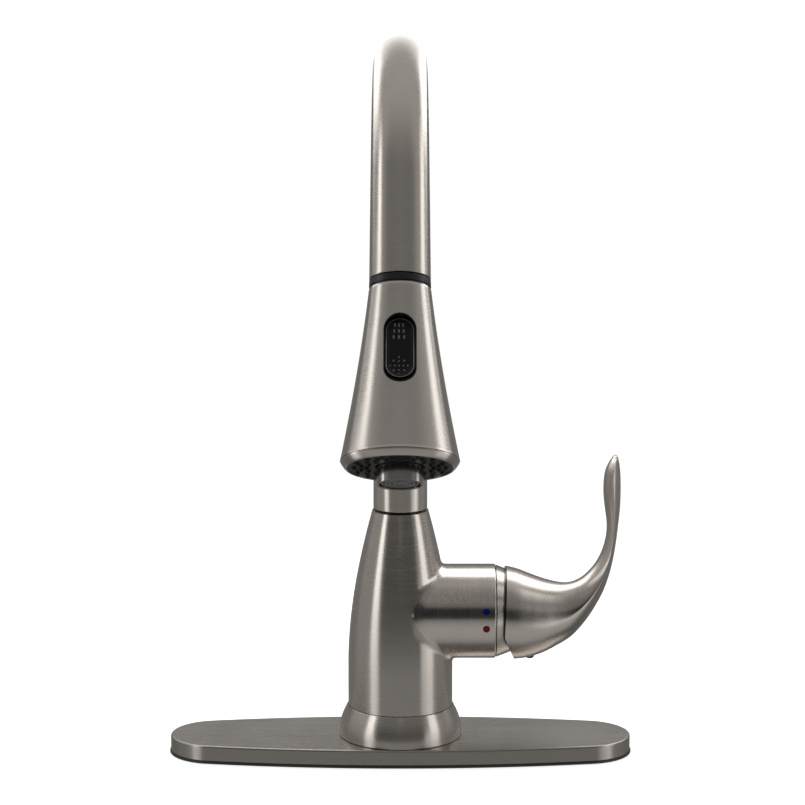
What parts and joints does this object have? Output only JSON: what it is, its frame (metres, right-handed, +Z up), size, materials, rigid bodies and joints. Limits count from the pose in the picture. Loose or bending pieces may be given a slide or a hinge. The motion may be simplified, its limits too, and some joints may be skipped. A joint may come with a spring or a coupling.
{
  "type": "pull down kitchen faucet",
  "caption": "High-arc kitchen faucet with a pull-down spray wand on a hose, a side lever and a long deck plate, in brushed nickel.",
  "frame": {"origin": "on the deck surface, at the centre of the hole that the faucet's shank goes through", "axes": "+Z up from the deck along the body's axis, -Y towards the user and the wand, +X towards the side lever"},
  "size_m": [0.2616, 0.2913, 0.5265],
  "materials": {
    "brushed_nickel": "satin nickel, finely brushed around each turned form",
    "stainless": "plain machined stainless steel",
    "brass": "machined brass, not plated",
    "copper": null,
    "black_plastic": "black moulded plastic with a low sheen",
    "grey_plastic": "dark grey moulded plastic",
    "white_plastic": "white moulded acetal",
    "black_rubber": "soft black rubber",
    "ceramic": "lapped valve ceramic",
    "braid": "grey braided hose cover",
    "cold_blue": "blue enamel dot",
    "hot_red": "red enamel dot"
  },
  "bodies": {
    "root": {"deck_plate": "brushed_nickel", "deck_plate_base": "black_plastic", "base_ring": "brushed_nickel", "base_ring_seal": "black_rubber", "faucet_body": "brushed_nickel", "mounting_shank": "brass", "countertop_washer": "black_rubber", "clamp_washer": "stainless", "mounting_nut": "brass", "jack_screw_left": "stainless", "jack_screw_right": "stainless", "hot_inlet_tube": "copper", "mixed_outlet_tube": "copper", "cold_inlet_tube": "copper", "cartridge_seal": "black_rubber", "cartridge_base": "white_plastic", "fixed_disc": "ceramic", "cartridge_shell": "white_plastic", "cartridge_nut": "brass", "bonnet_cap": "brushed_nickel", "cold_mark": "cold_blue", "hot_mark": "hot_red", "spout_post": "brass", "upper_o_ring": "black_rubber", "lower_o_ring": "black_rubber", "retaining_ring": "stainless", "swivel_washer": "black_plastic"},
    "turret": {"cartridge_turret": "white_plastic", "stem_pin": "stainless"},
    "lever": {"cartridge_stem": "brass", "handle": "brushed_nickel", "handle_screw": "stainless", "handle_plug": "black_plastic"},
    "disc": {"moving_disc": "ceramic", "disc_carrier": "white_plastic"},
    "spout": {"spout": "brushed_nickel", "spout_sleeve": "white_plastic", "dock_sleeve": "black_plastic", "spray_hose": "braid", "hose_fitting": "brass"},
    "hose": {"hose_end": "braid", "hose_ferrule": "stainless", "hose_nut": "brass", "hose_washer": "black_rubber"},
    "wand": {"wand_shell": "brushed_nickel", "wand_collar": "black_plastic", "wand_core": "grey_plastic", "check_valve": "white_plastic", "button_bezel": "black_plastic", "face_ring": "brushed_nickel", "spray_plate": "grey_plastic", "nozzle_mat": "black_rubber", "aerator_housing": "brushed_nickel", "aerator_insert": "grey_plastic", "face_seal": "black_rubber", "rocker_pin": "stainless"},
    "rocker": {"rocker_button": "black_plastic"},
    "spool": {"diverter_spool": "white_plastic"}
  },
  "joints": [
    {"name": "spout_swivel", "type": "hinge", "parent": "root", "child": "spout", "pos_m": [0, 0, 0.1413], "axis": [0, 0, 1], "continuous": true},
    {"name": "wand_pull", "type": "slide", "parent": "spout", "child": "hose", "axis": [0, -0.4384, -0.8988], "range_m": [0, 0.2]},
    {"name": "wand_twist", "type": "hinge", "parent": "hose", "child": "wand", "pos_m": [0, -0.18931, 0.2977], "axis": [0, -0.4384, -0.8988], "continuous": true},
    {"name": "rocker_tilt", "type": "hinge", "parent": "wand", "child": "rocker", "pos_m": [0, -0.22188, 0.26831], "axis": [1, 0, 0], "range_deg": [0, 9]},
    {"name": "diverter_shift", "type": "slide", "parent": "wand", "child": "spool", "axis": [0, 0.4384, 0.8988], "range_m": [0, 0.0012]},
    {"name": "temperature", "type": "hinge", "parent": "root", "child": "turret", "pos_m": [0.048, 0, 0.0816], "axis": [1, 0, 0], "range_deg": [-45, 45]},
    {"name": "flow", "type": "hinge", "parent": "turret", "child": "lever", "pos_m": [0.048, 0, 0.0816], "axis": [0, 1, 0], "range_deg": [0, 20]},
    {"name": "disc_shift", "type": "slide", "parent": "turret", "child": "disc", "axis": [0, 0, 1], "range_m": [0, 0.006]}
  ],
  "couplings": [
    {"joint": "diverter_shift", "follows": "rocker_tilt", "m_per_rad": 0.0072},
    {"joint": "disc_shift", "follows": "flow", "m_per_rad": 0.0166}
  ]
}
